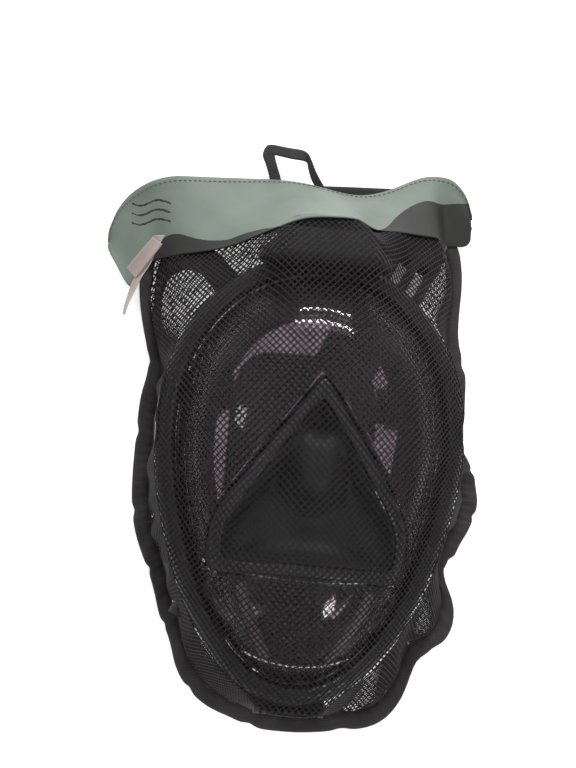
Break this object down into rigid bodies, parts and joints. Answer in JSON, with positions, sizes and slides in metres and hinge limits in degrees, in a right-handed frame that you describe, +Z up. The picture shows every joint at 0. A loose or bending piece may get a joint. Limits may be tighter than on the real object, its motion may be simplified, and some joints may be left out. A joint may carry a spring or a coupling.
{
  "type": "snorkel mask",
  "caption": "Full-face snorkel mask with its dry-top snorkel, packed on its back in a mesh carry bag with a coated header and hang loop.",
  "frame": {"origin": "middle of the packed object on the surface that it lies on", "axes": "+Y from the mask's chin to its forehead and the bag's header, +Z up out of the lens, +X to the viewer's right when looking down at the lens"},
  "size_m": [0.2422, 0.3634, 0.112],
  "materials": {
    "clear_lens": "clear, lightly smoked, glossy",
    "black_plastic": "satin to glossy moulded",
    "grey_plastic": "satin moulded",
    "white_plastic": "satin moulded",
    "black_rubber": "matt",
    "smoke_silicone": "soft satin",
    "clear_silicone": "soft, translucent in life",
    "strap_elastic": "ribbed woven elastic",
    "net_mesh": "knitted polyester net",
    "edge_tape": "woven binding tape",
    "header_fabric": "coated, grey-green with a dark lower print",
    "header_backing": "coated black",
    "closure_pile": "hook and pile",
    "loop_webbing": "flat woven webbing",
    "label_satin": "printed satin, blank here"
  },
  "bodies": {
    "packed_mask": {"bag_back_net": "net_mesh", "bag_edge_tape": "edge_tape", "bag_front_net": "net_mesh", "bag_front_net_sides": "net_mesh", "header_back": "header_backing", "header_front": "header_fabric", "closure_hook_strip": "closure_pile", "closure_loop_strip": "closure_pile", "hang_loop": "loop_webbing", "care_label": "label_satin", "care_label_flap": "label_satin", "visor_lens": "clear_lens", "visor_frame": "black_plastic", "lens_seal": "black_rubber", "forehead_housing": "black_plastic", "socket_collar": "black_plastic", "socket_gasket": "black_rubber", "nose_pocket": "black_rubber", "nose_pocket_trim": "black_rubber", "face_skirt": "smoke_silicone", "exhale_duct_left": "black_plastic", "exhale_duct_right": "black_plastic", "oronasal_cup": "smoke_silicone", "inhale_valve_seat_left": "grey_plastic", "inhale_valve_seat_right": "grey_plastic", "chin_bulkhead": "black_plastic", "chin_valve_seat": "grey_plastic", "chin_valve_cover": "black_plastic", "chin_drain_cover": "black_plastic", "strap_anchor_upper_left": "black_plastic", "strap_anchor_upper_right": "black_plastic", "strap_anchor_lower_left": "black_plastic", "strap_anchor_lower_right": "black_plastic", "strap_upper_left": "strap_elastic", "strap_upper_right": "strap_elastic", "strap_lower_left": "strap_elastic", "strap_lower_right": "strap_elastic", "strap_back_pad": "strap_elastic", "snorkel_tube": "black_plastic", "snorkel_base": "black_plastic", "snorkel_base_seal": "black_rubber", "dry_top_cage": "black_plastic", "dry_top_seal": "black_rubber", "dry_top_cap": "black_plastic"},
    "dry_top_float": {"dry_top_float": "white_plastic"},
    "inhale_flap_left": {"inhale_valve_flap_left": "clear_silicone"},
    "inhale_flap_right": {"inhale_valve_flap_right": "clear_silicone"},
    "chin_flap": {"chin_valve_flap": "clear_silicone"},
    "release_button": {"snorkel_release_button": "grey_plastic"},
    "slider_left": {"strap_slider_left": "black_plastic"},
    "slider_right": {"strap_slider_right": "black_plastic"}
  },
  "joints": [
    {"name": "float_slide", "type": "slide", "parent": "packed_mask", "child": "dry_top_float", "axis": [0.4226, 0.9063, 0], "range_m": [0, 0.009]},
    {"name": "inhale_left_lift", "type": "slide", "parent": "packed_mask", "child": "inhale_flap_left", "axis": [0.5299, 0, -0.848], "range_m": [0, 0.0012], "stiffness_N_per_m": 20},
    {"name": "inhale_right_lift", "type": "slide", "parent": "packed_mask", "child": "inhale_flap_right", "axis": [-0.5299, 0, -0.848], "range_m": [0, 0.0012], "stiffness_N_per_m": 20},
    {"name": "chin_valve_lift", "type": "slide", "parent": "packed_mask", "child": "chin_flap", "axis": [0, 0, 1], "range_m": [0, 0.0012], "stiffness_N_per_m": 20},
    {"name": "release_press", "type": "slide", "parent": "packed_mask", "child": "release_button", "axis": [0, 0, -1], "range_m": [0, 0.0014], "stiffness_N_per_m": 400},
    {"name": "slider_left_adjust", "type": "slide", "parent": "packed_mask", "child": "slider_left", "axis": [-1, 0, 0], "range_m": [-0.003, 0.006]},
    {"name": "slider_right_adjust", "type": "slide", "parent": "packed_mask", "child": "slider_right", "axis": [1, 0, 0], "range_m": [-0.003, 0.006]}
  ]
}
